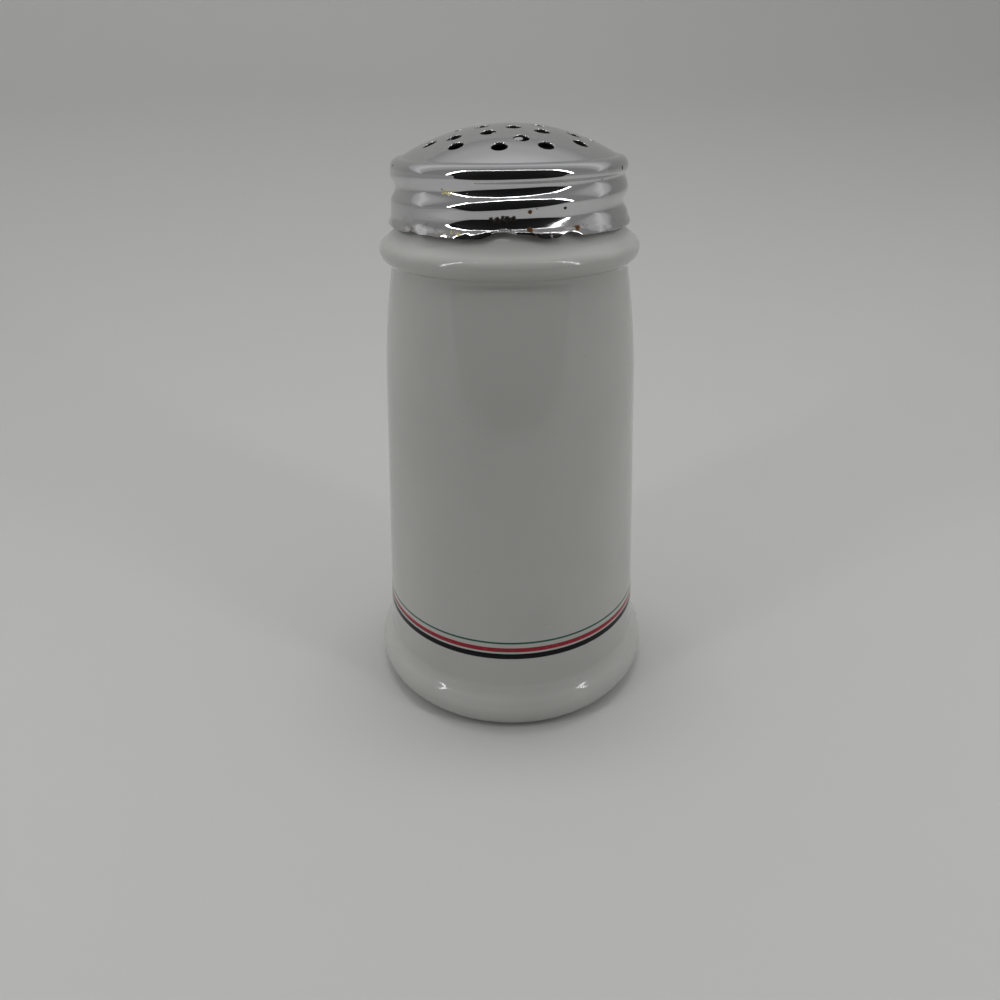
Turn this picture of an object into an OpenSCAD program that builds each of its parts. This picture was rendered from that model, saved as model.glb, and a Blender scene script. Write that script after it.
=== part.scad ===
// Ceramic shaker for grated cheese with a perforated, chromed screw cap.
// Lengths are in millimetres. The origin is the middle of the foot ring, on the table, with +Z up.
// The front, as the shaker is seen on a table, looks along -Y.

/* [Jar body] */
// Widest radius of the rounded base
base_r = 43.65; // [43:0.05:46]
// Radius of the rounding round the base
base_round_r = 7.2; // [6.8:0.1:8]
// Radius of the hollow sweep from the base up into the wall
base_sweep_r = 24; // [18:1:28]
// Amount that the base stands out from the leaning wall, carried straight down to the table
base_proud = 2.75; // [2.2:0.05:3.6]
// Amount that the wall stands out from the collar where its shoulder begins
shoulder_proud = 1.05; // [0.6:0.05:1.6]
// Height at which the shoulder begins
shoulder_z = 98; // [90:1:104]
// Height of the shoulder, from its beginning up to the middle of the collar
shoulder_h = 34.3; // [32:0.1:36]
// Radius of the long curve of the shoulder
shoulder_curve_r = 220; // [180:5:300]
// Thickness of the ceramic wall
wall_t = 4; // [3:0.25:5]
// Height of the cavity's floor above the table
floor_z = 6; // [5:0.5:8]
// Width of the foot ring that the jar stands on
foot_ring_w = 5; // [4:0.5:7]
// Depth of the hollow inside the foot ring
foot_recess_h = 2; // [1:0.25:3]

/* [Collar and neck] */
// Outer radius of the neck between its thread's turns
neck_r = 27.3; // [26.8:0.1:27.8]
// Height of the neck, from the middle of the collar up to the rim
neck_h = 19.6; // [18.6:0.1:21]
// Thickness of the neck
neck_t = 3.8; // [3.4:0.1:5]
// Amount that the round collar under the cap stands out from the neck
collar_proud = 6.7; // [6.4:0.1:7.4]
// Radius of the collar's round edge
collar_round_r = 3; // [2.5:0.1:3.4]
// Radius of the small hollow under the collar
collar_hollow_r = 1.6; // [1:0.1:2]
// Radius of the cove from the collar up into the neck
cove_r = 12; // [9:0.5:13]
// Radius of the rounded edges of the rim
rim_round_r = 1; // [0.5:0.1:1.4]
// Drop from the middle of the collar to where the cavity begins to draw in to the mouth
inner_shoulder_drop = 3.3; // [2.5:0.1:10]
// Radius of the cavity's rounded shoulder
inner_shoulder_r = 6; // [5:0.5:8]

/* [Screw thread] */
// Height that the thread climbs in one turn
thread_pitch = 6.35; // [6:0.05:6.7]
// Height of the moulded ridge over the neck
ridge_h = 1.5; // [1.3:0.05:1.6]
// Width of the moulded ridge at the neck
ridge_root_w = 3; // [2.4:0.1:3.2]
// Width of the moulded ridge at its crest
ridge_crest_w = 0.9; // [0.6:0.1:1.2]
// Drop from the rim to the middle of the ridge at its upper end
ridge_drop = 2.65; // [2.5:0.05:3]
// Number of turns of the moulded ridge
ridge_turns = 1.15; // [1:0.05:1.2]
// Length of the tapered run-out at each end of the ridge, in degrees
ridge_fade_a = 28; // [20:1:45]
// Drop from the middle of the moulded ridge to the rolled groove that hooks under it
thread_seat = 2.7; // [2.6:0.05:3]

/* [Cap] */
// Thickness of the pressed sheet
sheet_t = 0.55; // [0.4:0.05:0.6]
// Radial gap between the ridge's crest and the skirt at its top
thread_gap = 0.4; // [0.35:0.05:0.6]
// Depth of the rolled groove in the skirt
groove_h = 1.25; // [1:0.05:1.4]
// Number of turns of the rolled groove, with its run-outs
groove_turns = 1.68; // [1.5:0.02:1.8]
// Length of the run-out at the groove's lower end, in degrees
groove_low_fade_a = 140; // [100:5:160]
// Length of the run-out at the groove's upper end, in degrees
groove_top_fade_a = 130; // [80:5:150]
// Height of the skirt's raw lower edge over the middle of the collar
hem_up = 6.2; // [6:0.1:6.8]
// Amount that the skirt flares out from its top to its lower edge
skirt_flare = 0.7; // [0.3:0.05:0.9]
// Radius of the rounded shoulder bead
bead_round_r = 2.4; // [1.9:0.1:2.5]
// Distance from the bead's middle in to the crease where the dome begins
crease_in = 0.3; // [0.2:0.05:0.6]
// Radius of the soft bend in the crease
crease_round_r = 0.8; // [0.5:0.1:1]
// Rise of the dome over the crease
dome_h = 6.6; // [5:0.1:9]
// Radius of each sprinkling hole
hole_r = 1.85; // [1.2:0.05:2]

/* [Sealing washer] */
// Thickness of the washer
washer_t = 1.5; // [1:0.1:1.7]
// Radial width of the washer
washer_w = 4.1; // [3.8:0.1:4.5]
// Gap between the washer's edge and the cap around it
washer_edge_gap = 1.1; // [1:0.05:1.3]
// Gap between the washer and the cap above it
washer_top_gap = 0.35; // [0.3:0.05:0.5]

/* [Enamel bands] */
// Depth of the fired enamel lines in the glaze
band_t = 0.25; // [0.15:0.05:0.4]
// Height of the black band's lower edge
black_band_z = 24.7; // [24:0.1:30]
// Width of the black band
black_band_w = 1.6; // [1:0.1:1.8]
// Gap of white glaze between the black and the red band
black_red_gap = 1; // [0.5:0.1:3]
// Width of the red band
red_band_w = 1.25; // [0.5:0.05:2]
// Gap of white glaze between the red and the green band
red_green_gap = 1.45; // [0.5:0.05:3]
// Width of the green band
green_band_w = 0.5; // [0.3:0.05:1.5]

/* [Hidden] */
$fn = 96;

// Length by which a cut runs past the surface that it opens
overrun = 1;
// Depth of the ridge's root in the neck
root_in = 0.6;
// Height of the skirt's top edge in the bead's wall, and its distance from the wall's two faces
lip_h = 0.6;
lip_in = 0.12;
// Distance from the bead's middle down to the join of dome and skirt
join_drop = 0.6;
// Height over which the groove fades out under the join
join_fade_h = 1.7;

// Angles between the points of an arc: plain ones, tight ones, the dome and the long shoulder
arc_step = 4;
collar_step = 9;
dome_step = 1.6;
long_step = 0.6;

// Steps round one turn, and rows up the skirt
turn_steps = 72;
skirt_rows = 18;

// Sprinkling holes: rings of holes round a middle one, as shares of the dome's radius
hole_ring_shares = [0.29, 0.46, 0.6, 0.745];
hole_ring_counts = [6, 6, 6, 12];
hole_ring_angles = [-83, -53, -83, -98];

// Angles round the axis, from +X towards +Y, at which the ridge ends and the groove begins
ridge_end_a = 160;
groove_start_a = -175;

// Radii build up from the neck, and heights from the table: each size carries what is above it
mouth_r = neck_r - neck_t;
collar_r = neck_r + collar_proud;
shoulder_r = collar_r + shoulder_proud;
wall_low_r = base_r - base_proud;
collar_z = shoulder_z + shoulder_h;
rim_z = collar_z + neck_h;
inner_shoulder_z = collar_z - inner_shoulder_drop;

// The leaning wall: its slope, and the directions along it and out of it
wall_lean = atan((wall_low_r - shoulder_r) / shoulder_z);
wall_up = [-sin(wall_lean), cos(wall_lean)];
wall_out = [cos(wall_lean), sin(wall_lean)];

base_mid = [base_r - base_round_r, base_round_r];
shoulder_start = [shoulder_r, shoulder_z];
shoulder_mid = shoulder_start - shoulder_curve_r * wall_out;
collar_mid = [collar_r - collar_round_r, collar_z];
foot_inner_r = base_mid[0] - foot_ring_w;

// The cap follows the neck: its skirt clears the ridge, and its bead seats over the washer
ridge_r = neck_r + ridge_h;
bead_r = ridge_r + thread_gap + sheet_t;
bead_mid = [bead_r - bead_round_r, rim_z + washer_t + washer_top_gap - (bead_round_r - sheet_t)];
hem_z = collar_z + hem_up;
join_z = bead_mid[1] - join_drop;
crease = bead_mid + [-crease_in, sqrt(bead_round_r * bead_round_r - crease_in * crease_in)];
dome_r = (crease[0] * crease[0] + dome_h * dome_h) / (2 * dome_h);
dome_mid = [0, crease[1] + dome_h - dome_r];

washer_r = bead_r - sheet_t - washer_edge_gap;
red_band_z = black_band_z + black_band_w + black_red_gap;
green_band_z = red_band_z + red_band_w + red_green_gap;

// Middle of a circle of radius r that rests on another circle and, above it, on a straight line
function rest_on_line(mid, mid_r, foot, up, out, r) =
    let (start = foot + r * out, gap = start - mid, along = gap * up)
    start + (sqrt(along * along - gap * gap + pow(mid_r + r, 2)) - along) * up;

// Middle of a circle of radius r that rests on two others, on the right of the way from a to b
function rest_on_circles(a, a_r, b, b_r, r) =
    let (span = norm(b - a), way = (b - a) / span,
         share = (span * span + pow(a_r + r, 2) - pow(b_r + r, 2)) / (2 * span))
    a + share * way + sqrt(pow(a_r + r, 2) - share * share) * [way[1], -way[0]];

// Radius of the leaning wall at a height
function wall_x(z) = wall_low_r - z * tan(wall_lean);

// Soft step from 0 to 1
function soft(x) = let (c = min(1, max(0, x))) c * c * (3 - 2 * c);

// Heights of the moulded ridge and of the rolled groove at an angle along the thread
function ridge_z(a) = rim_z - ridge_drop + thread_pitch * (a - ridge_end_a) / 360;
function groove_z(a) = ridge_z(a) - thread_seat;

// Share of its full depth that the groove has at an angle along the thread
function groove_share(a) =
    soft((a - groove_start_a) / groove_low_fade_a)
    * soft((groove_start_a + 360 * groove_turns - a) / groove_top_fade_a);

// Share of the groove's depth at a place on the skirt: a cosine wave between neighbouring turns
function groove_wave(a, z) =
    let (drop = (z - groove_z(a)) / thread_pitch)
    abs(drop) < 0.5 ? (1 + cos(360 * drop)) / 2 * groove_share(a) : 0;
function groove_at(a, z) =
    groove_wave(a - 360, z) + groove_wave(a, z) + groove_wave(a + 360, z);

// Outer radius of the skirt at an angle and a height
function skirt_r(a, z) =
    let (down = (join_z - z) / (join_z - hem_z))
    bead_r + skirt_flare * max(0, down)
    - groove_h * groove_at(a, z) * soft((join_z - z) / join_fade_h);

// Points along an arc, both ends included
function arc(mid, r, from, to, step = arc_step) =
    let (count = ceil(abs(to - from) / step))
    [for (i = [0 : count]) let (a = from + (to - from) * i / count) mid + r * [cos(a), sin(a)]];

// Angle of the way from one point to another, from 0 to 360 or, where low is set, from -180 to 180
function bearing(a, b, low = false) =
    let (turn = atan2(b[1] - a[1], b[0] - a[0])) !low && turn < 0 ? turn + 360 : turn;

function backwards(list) = [for (i = [len(list) - 1 : -1 : 0]) list[i]];

// Middles of the arcs that blend the outside of the jar
sweep_mid = rest_on_line(
    base_mid, base_round_r, [wall_low_r, 0], wall_up, wall_out, base_sweep_r);
hollow_mid = rest_on_circles(
    shoulder_mid, shoulder_curve_r, collar_mid, collar_round_r, collar_hollow_r);
cove_mid = rest_on_line(collar_mid, collar_round_r, [neck_r, 0], [0, 1], [1, 0], cove_r);

// Middle of the soft bend between the cap's bead and its dome
bend_mid = rest_on_circles(bead_mid, bead_round_r, dome_mid, dome_r, crease_round_r);

// Middles of the arcs that draw the cavity in to the mouth
inner_end_a = asin((inner_shoulder_z - shoulder_mid[1]) / (shoulder_curve_r - wall_t));
inner_mid = shoulder_mid
    + (shoulder_curve_r - wall_t - inner_shoulder_r) * [cos(inner_end_a), sin(inner_end_a)];
throat_mid = rest_on_line(
    inner_mid, inner_shoulder_r, [mouth_r, 0], [0, 1], [1, 0], inner_shoulder_r);

// Seat of an enamel line in the leaning wall, from its lower to its upper edge
function band_seat(z, w) = [
    [wall_x(z), z], [wall_x(z) - band_t, z],
    [wall_x(z + w) - band_t, z + w], [wall_x(z + w), z + w]
];

// Outside of the jar, from the foot to the rim
function jar_outside() = concat(
    arc(base_mid, base_round_r, -90, bearing(base_mid, sweep_mid)),
    arc(sweep_mid, base_sweep_r, bearing(sweep_mid, base_mid), 180 + wall_lean),
    band_seat(black_band_z, black_band_w),
    band_seat(red_band_z, red_band_w),
    band_seat(green_band_z, green_band_w),
    arc(shoulder_mid, shoulder_curve_r, wall_lean, bearing(shoulder_mid, hollow_mid), long_step),
    arc(hollow_mid, collar_hollow_r, bearing(hollow_mid, shoulder_mid),
        bearing(hollow_mid, collar_mid), collar_step),
    arc(collar_mid, collar_round_r, bearing(collar_mid, hollow_mid, low = true),
        bearing(collar_mid, cove_mid), collar_step),
    arc(cove_mid, cove_r, bearing(cove_mid, collar_mid), 180),
    arc([neck_r - rim_round_r, rim_z - rim_round_r], rim_round_r, 0, 90, collar_step)
);

// Inside of the jar, from the rim to the middle of the floor
function jar_inside() = concat(
    arc([mouth_r + rim_round_r, rim_z - rim_round_r], rim_round_r, 90, 180, collar_step),
    arc(throat_mid, inner_shoulder_r, 180, bearing(throat_mid, inner_mid), collar_step),
    arc(inner_mid, inner_shoulder_r, bearing(inner_mid, throat_mid), inner_end_a, collar_step),
    arc(shoulder_mid, shoulder_curve_r - wall_t, inner_end_a, wall_lean, long_step),
    arc(sweep_mid, base_sweep_r + wall_t, 180 + wall_lean, bearing(sweep_mid, base_mid)),
    arc(base_mid, base_round_r - wall_t, bearing(base_mid, sweep_mid),
        asin((floor_z - base_mid[1]) / (base_round_r - wall_t)), collar_step),
    [[0, floor_z]]
);

// Underside of the jar: the hollow inside the foot ring
function jar_underside() = [
    [0, foot_recess_h], [foot_inner_r, foot_recess_h], [foot_inner_r, 0]
];

// Moulded ridge of the neck: a rounded section swept up the thread, run out at both ends
module neck_ridge() {
    steps = round(turn_steps * ridge_turns);
    start_a = ridge_end_a - 360 * ridge_turns;
    corner_share = 0.8;
    function ridge_share(a) =
        soft((a - start_a) / ridge_fade_a) * soft((ridge_end_a - a) / ridge_fade_a);
    function section(a) =
        let (share = ridge_share(a), r = neck_r - root_in / 2 + (ridge_h + root_in / 2) * share,
             side_r = neck_r + (r - neck_r) * corner_share, z = ridge_z(a))
        [
            [neck_r - root_in, z - ridge_root_w / 2],
            [min(neck_r, r) - root_in / 3, z - ridge_root_w / 2],
            [min(side_r, r), z - (ridge_crest_w + ridge_root_w * (1 - corner_share)) / 2],
            [r, z - ridge_crest_w / 2 * corner_share],
            [r, z + ridge_crest_w / 2 * corner_share],
            [min(side_r, r), z + (ridge_crest_w + ridge_root_w * (1 - corner_share)) / 2],
            [min(neck_r, r) - root_in / 3, z + ridge_root_w / 2],
            [neck_r - root_in, z + ridge_root_w / 2]
        ];
    count = len(section(0));
    points = [
        for (i = [0 : steps])
            let (a = start_a + i * 360 * ridge_turns / steps)
            for (p = section(a)) [p[0] * cos(a), p[0] * sin(a), p[1]]
    ];
    sides = [
        for (i = [0 : steps - 1], j = [0 : count - 1])
            let (k = (j + 1) % count, low = i * count, high = low + count)
            each [[low + j, low + k, high + k], [low + j, high + k, high + j]]
    ];
    ends = [
        for (j = [1 : count - 2])
            each [[0, j + 1, j], [steps * count, steps * count + j, steps * count + j + 1]]
    ];
    polyhedron(points, concat(sides, ends));
}

module jar() {
    color([0.93, 0.93, 0.91]) {
        rotate_extrude()
            polygon(concat(jar_outside(), jar_inside(), jar_underside()));
        neck_ridge();
    }
}

// Side of the cap's bead, crease and dome, from the join up to the middle, drawn in by an inset
function cap_line(inset) = concat(
    [[bead_r - inset, join_z]],
    arc(bead_mid, bead_round_r - inset, 0, bearing(bead_mid, bend_mid), collar_step),
    arc(bend_mid, crease_round_r + inset, bearing(bend_mid, bead_mid),
        bearing(bend_mid, dome_mid), collar_step),
    arc(dome_mid, dome_r - inset, bearing(dome_mid, bend_mid), 90, dome_step)
);

// Pressed dome and bead, a shell of the sheet's thickness
module cap_top() {
    rotate_extrude()
        polygon(concat(cap_line(0), backwards(cap_line(sheet_t))));
}

module band(z, w) {
    rotate_extrude()
        polygon(band_seat(z, w));
}

// Skirt with the rolled helical groove: rows of rings up its outside and down its inside
module threaded_skirt() {
    rise = join_z - lip_h / 3 - hem_z;
    outside = [
        for (i = [0 : skirt_rows])
            let (z = hem_z + rise * i / skirt_rows)
            [for (s = [0 : turn_steps - 1]) let (a = 360 * s / turn_steps) [skirt_r(a, z), z]]
    ];
    inside = [
        for (i = [skirt_rows : -1 : 0])
            [for (p = outside[i]) [p[0] - sheet_t, p[1]]]
    ];
    lip = [
        for (side = [bead_r - lip_in, bead_r - sheet_t + lip_in])
            [for (s = [0 : turn_steps - 1]) [side, join_z + lip_h * 2 / 3]]
    ];
    rings = concat(outside, lip, inside);
    points = [
        for (ring = rings, s = [0 : turn_steps - 1])
            let (a = 360 * s / turn_steps) [ring[s][0] * cos(a), ring[s][0] * sin(a), ring[s][1]]
    ];
    sides = [
        for (i = [0 : len(rings) - 1], s = [0 : turn_steps - 1])
            let (t = (s + 1) % turn_steps, low = i * turn_steps,
                 high = (i + 1) % len(rings) * turn_steps)
            each [[low + s, high + t, low + t], [low + s, high + s, high + t]]
    ];
    polyhedron(points, sides);
}

// Places of the sprinkling holes
module at_holes() {
    children();
    for (i = [0 : len(hole_ring_shares) - 1])
        for (k = [0 : hole_ring_counts[i] - 1])
            rotate(hole_ring_angles[i] + 360 * k / hole_ring_counts[i])
                translate([crease[0] * hole_ring_shares[i], 0])
                    children();
}

module cap() {
    color([0.78, 0.79, 0.8]) {
        difference() {
            cap_top();
            at_holes()
                translate([0, 0, join_z])
                    cylinder(h = dome_r, r = hole_r, $fn = 32);
        }
        threaded_skirt();
    }
}

module sealing_washer() {
    color([0.85, 0.83, 0.76])
        translate([0, 0, rim_z])
            difference() {
                cylinder(h = washer_t, r = washer_r);
                translate([0, 0, -overrun])
                    cylinder(h = washer_t + 2 * overrun, r = washer_r - washer_w);
            }
}

module black_band() {
    color([0.06, 0.06, 0.07])
        band(black_band_z, black_band_w);
}

module red_band() {
    color([0.72, 0.1, 0.14])
        band(red_band_z, red_band_w);
}

module green_band() {
    color([0.1, 0.42, 0.28])
        band(green_band_z, green_band_w);
}

jar();
cap();
sealing_washer();
black_band();
red_band();
green_band();
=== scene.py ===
import logging
import math
from collections.abc import Callable, Sequence
from dataclasses import dataclass, field, replace
from enum import Enum
from typing import Any

import bpy
from mathutils import Matrix, Quaternion, Vector


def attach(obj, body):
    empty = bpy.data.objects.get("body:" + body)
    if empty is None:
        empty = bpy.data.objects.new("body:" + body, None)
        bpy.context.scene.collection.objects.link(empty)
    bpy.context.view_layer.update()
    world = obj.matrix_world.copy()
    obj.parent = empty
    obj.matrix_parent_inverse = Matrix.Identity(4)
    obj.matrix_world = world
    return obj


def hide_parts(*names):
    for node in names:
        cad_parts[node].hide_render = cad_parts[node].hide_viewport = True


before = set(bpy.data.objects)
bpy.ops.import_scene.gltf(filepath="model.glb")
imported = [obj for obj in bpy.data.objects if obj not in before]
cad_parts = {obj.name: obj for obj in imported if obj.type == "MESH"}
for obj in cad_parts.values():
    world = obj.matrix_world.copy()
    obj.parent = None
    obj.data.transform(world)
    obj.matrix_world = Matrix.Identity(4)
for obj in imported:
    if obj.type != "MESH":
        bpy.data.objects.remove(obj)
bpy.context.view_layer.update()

LOG = logging.getLogger("shaker")
FULL_TURN = 360.0
HALF_TURN = 180.0
FULL_CIRCLE = 2.0 * math.pi
MM = 0.001
GLASS_IOR = 1.52

Point = tuple[float, float]
Place = tuple[float, float, float]
Colour = tuple[float, float, float, float]
Piece = bpy.types.Object
Material = bpy.types.Material
Socket = bpy.types.NodeSocket


def soft(share: float) -> float:
    """Returns a soft step from 0 to 1 for a share between 0 and 1."""
    held = min(1.0, max(0.0, share))
    return held * held * (3.0 - 2.0 * held)


def polar(radius: float, degrees: float, height: float = 0.0) -> Place:
    """Returns the place at a radius, an angle from +X towards +Y, and a height."""
    turn = math.radians(degrees)
    return radius * math.cos(turn), radius * math.sin(turn), height


def grey(tone: float) -> Colour:
    """Returns an opaque grey."""
    return tone, tone, tone, 1.0


def darkened(colour: Colour, share: float) -> Colour:
    """Returns an opaque colour darkened to a share of its brightness."""
    return colour[0] * share, colour[1] * share, colour[2] * share, 1.0


@dataclass(frozen=True)
class Circle:
    """A circle in the plane of radius and height, from which outlines take their arcs."""

    mid: Point
    radius: float

    def arc(self, start: float, end: float, step: float = 3.0) -> list[Point]:
        """Points along an arc of the circle.

        Args:
            start: first angle in degrees.
            end: last angle in degrees.
            step: largest angle between neighbouring points.

        Returns:
            The points, both ends included.
        """
        count = max(1, math.ceil(abs(end - start) / step))
        angles = (math.radians(start + (end - start) * i / count) for i in range(count + 1))
        return [(self.mid[0] + self.radius * math.cos(a), self.mid[1] + self.radius * math.sin(a))
                for a in angles]

    def towards(self, other: "Circle", low: bool = False) -> float:
        """Returns the angle to another circle's middle, from 0 to 360, or from -180 if low."""
        turn = math.degrees(math.atan2(other.mid[1] - self.mid[1], other.mid[0] - self.mid[0]))
        return turn if low or turn >= 0.0 else turn + FULL_TURN

    def grown(self, amount: float) -> "Circle":
        """Returns the circle with its radius changed by an amount."""
        return Circle(self.mid, self.radius + amount)

    def blend_to_line(self, foot: Point, lean: float, radius: float) -> "Circle":
        """Circle that rests on this one and, above it, on the outer side of a straight line.

        Args:
            foot: a point of the line.
            lean: angle in degrees by which the line leans inwards.
            radius: radius of the new circle.

        Returns:
            The new circle.
        """
        inwards, up = -math.sin(math.radians(lean)), math.cos(math.radians(lean))
        start = (foot[0] + radius * up, foot[1] - radius * inwards)
        gap = (start[0] - self.mid[0], start[1] - self.mid[1])
        run = gap[0] * inwards + gap[1] * up
        rise = math.sqrt(run * run - gap[0] ** 2 - gap[1] ** 2 + (self.radius + radius) ** 2) - run
        return Circle((start[0] + rise * inwards, start[1] + rise * up), radius)

    def blend_to(self, other: "Circle", radius: float) -> "Circle":
        """Circle that rests on this one and another, on the right of the way between them.

        Args:
            other: the other circle.
            radius: radius of the new circle.

        Returns:
            The new circle.
        """
        span = math.dist(self.mid, other.mid)
        way = ((other.mid[0] - self.mid[0]) / span, (other.mid[1] - self.mid[1]) / span)
        reach = self.radius + radius
        share = (span * span + reach ** 2 - (other.radius + radius) ** 2) / (2.0 * span)
        side = math.sqrt(reach * reach - share * share)
        return Circle((self.mid[0] + share * way[0] + side * way[1],
                       self.mid[1] + share * way[1] - side * way[0]), radius)


class Way(Enum):
    """Direction in which an operation moves the vertices of a sheet."""

    NORMAL = "NORMAL"
    UP = "Z"


class Bench:
    """The modelling operators, each used on one object at a time."""

    MERGE = 1e-6

    @staticmethod
    def put_down() -> None:
        """Leaves edit mode and deselects every object."""
        if bpy.context.object and bpy.context.object.mode != "OBJECT":
            bpy.ops.object.mode_set(mode="OBJECT")
        bpy.ops.object.select_all(action="DESELECT")

    @classmethod
    def pick(cls, *pieces: Piece) -> None:
        """Selects pieces.

        Args:
            pieces: the pieces, of which the first becomes active.
        """
        cls.put_down()
        for piece in pieces:
            piece.select_set(True)
        bpy.context.view_layer.objects.active = pieces[0]

    @classmethod
    def edit(cls, piece: Piece) -> None:
        """Puts a piece in edit mode with all of it selected.

        Args:
            piece: the piece.
        """
        cls.pick(piece)
        bpy.ops.object.mode_set(mode="EDIT")
        bpy.ops.mesh.select_all(action="SELECT")

    @staticmethod
    def swing(degrees: float) -> None:
        """Turns what is selected about the upright axis, anticlockwise from above."""
        bpy.ops.transform.rotate(value=-math.radians(degrees), orient_axis="Z",
                                 center_override=(0.0, 0.0, 0.0))

    @staticmethod
    def move(step: Place) -> None:
        """Moves what is selected."""
        bpy.ops.transform.translate(value=step)

    @staticmethod
    def draw_out(step: Place) -> None:
        """Extrudes what is selected by a step."""
        bpy.ops.mesh.extrude_region_move(TRANSFORM_OT_translate={"value": step})

    @classmethod
    def close_up(cls) -> None:
        """Merges the doubles of the piece in edit mode, turns its faces outwards and leaves."""
        bpy.ops.mesh.select_all(action="SELECT")
        bpy.ops.mesh.remove_doubles(threshold=cls.MERGE)
        bpy.ops.mesh.normals_make_consistent(inside=False)
        bpy.ops.object.mode_set(mode="OBJECT")

    @classmethod
    def settle(cls, piece: Piece) -> Piece:
        """Moves a piece's place, turn and size into its mesh.

        Args:
            piece: the piece.

        Returns:
            The same piece.
        """
        cls.pick(piece)
        bpy.ops.object.transform_apply(location=True, rotation=True, scale=True)
        return piece

    @classmethod
    def line(cls, name: str, points: Sequence[Point], closed: bool = False) -> Piece:
        """Draws an outline at angle 0: a small plate drawn to one vertex, then extruded along.

        Args:
            name: name of the new piece.
            points: radius and height of each corner.
            closed: joins the last corner to the first.

        Returns:
            The piece, a line of edges.
        """
        cls.put_down()
        first = points[0]
        bpy.ops.mesh.primitive_plane_add(size=MM, location=(first[0], 0.0, first[1]))
        piece = cls.settle(bpy.context.object)
        piece.name = piece.data.name = name
        cls.edit(piece)
        bpy.ops.mesh.merge(type="CENTER")
        corners = [*points[1:], first] if closed else points[1:]
        for before, after in zip(points, corners):
            cls.draw_out((after[0] - before[0], 0.0, after[1] - before[1]))
        if closed:
            bpy.ops.mesh.select_all(action="SELECT")
            bpy.ops.mesh.remove_doubles(threshold=cls.MERGE)
        bpy.ops.object.mode_set(mode="OBJECT")
        return piece

    @classmethod
    def turned(cls, name: str, points: Sequence[Point], steps: int, closed: bool = False) -> Piece:
        """Turns an outline once round the upright axis, as on a lathe.

        Args:
            name: name of the new piece.
            points: radius and height of each corner.
            steps: number of steps round the turn.
            closed: joins the last corner to the first before turning.

        Returns:
            The turned piece, with its doubles merged and its faces outwards.
        """
        piece = cls.line(name, points, closed)
        cls.edit(piece)
        bpy.ops.mesh.spin(steps=steps, angle=math.radians(FULL_TURN),
                          center=(0.0, 0.0, 0.0), axis=(0.0, 0.0, 1.0))
        cls.close_up()
        return piece

    @classmethod
    def apply(cls, piece: Piece, kind: str, **settings: Any) -> None:
        """Adds a modifier and applies it.

        Args:
            piece: the piece to modify.
            kind: the modifier's type.
            settings: its settings by name.
        """
        cls.pick(piece)
        modifier = piece.modifiers.new(kind.title(), kind)
        for name, value in settings.items():
            setattr(modifier, name, value)
        bpy.ops.object.modifier_apply(modifier=modifier.name)

    @staticmethod
    def weigh(piece: Piece, name: str, weight: Callable[[Vector], float]) -> str:
        """Gives a piece a vertex group whose weights come from each vertex's place.

        Args:
            piece: the piece.
            name: name of the group.
            weight: the weight, from 0 to 1, at a place.

        Returns:
            The group's name.
        """
        group = piece.vertex_groups.new(name=name)
        for vertex in piece.data.vertices:
            share = weight(vertex.co)
            if share > 0.0:
                group.add([vertex.index], min(1.0, share), "REPLACE")
        return name

    @classmethod
    def push(cls, piece: Piece, group: str, amount: float,
             way: Way = Way.NORMAL, texture: bpy.types.Texture | None = None) -> None:
        """Moves a group's vertices by an amount, which a texture scatters to both sides."""
        cls.apply(piece, "DISPLACE", vertex_group=group, strength=amount, direction=way.value,
                  texture=texture, mid_level=0.5 if texture else 0.0, texture_coords="LOCAL")

    @classmethod
    def smooth(cls, piece: Piece, degrees: float = 40.0) -> None:
        """Shades a piece smooth, apart from edges sharper than an angle."""
        cls.pick(piece)
        bpy.ops.object.shade_smooth_by_angle(angle=math.radians(degrees))

    @classmethod
    def copied(cls, piece: Piece) -> Piece:
        """Copies a piece together with its mesh.

        Args:
            piece: the piece.

        Returns:
            The copy.
        """
        cls.pick(piece)
        bpy.ops.object.duplicate(linked=False)
        return bpy.context.object


def dress(piece: Piece, material: Material, slot: str, body: str, *nodes: str) -> None:
    """Gives a finished piece its material, body and place in the frame.

    Args:
        piece: the piece.
        material: its material.
        slot: the record's material slot, not used.
        body: the body that it rides on.
        nodes: the nodes that it replaces.
    """
    piece.data.materials.clear()
    piece.data.materials.append(material)
    if nodes:
        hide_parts(*nodes)
    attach(piece, body)
    LOG.info("%s: %d faces, on body %s", piece.name, len(piece.data.polygons), body)


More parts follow.
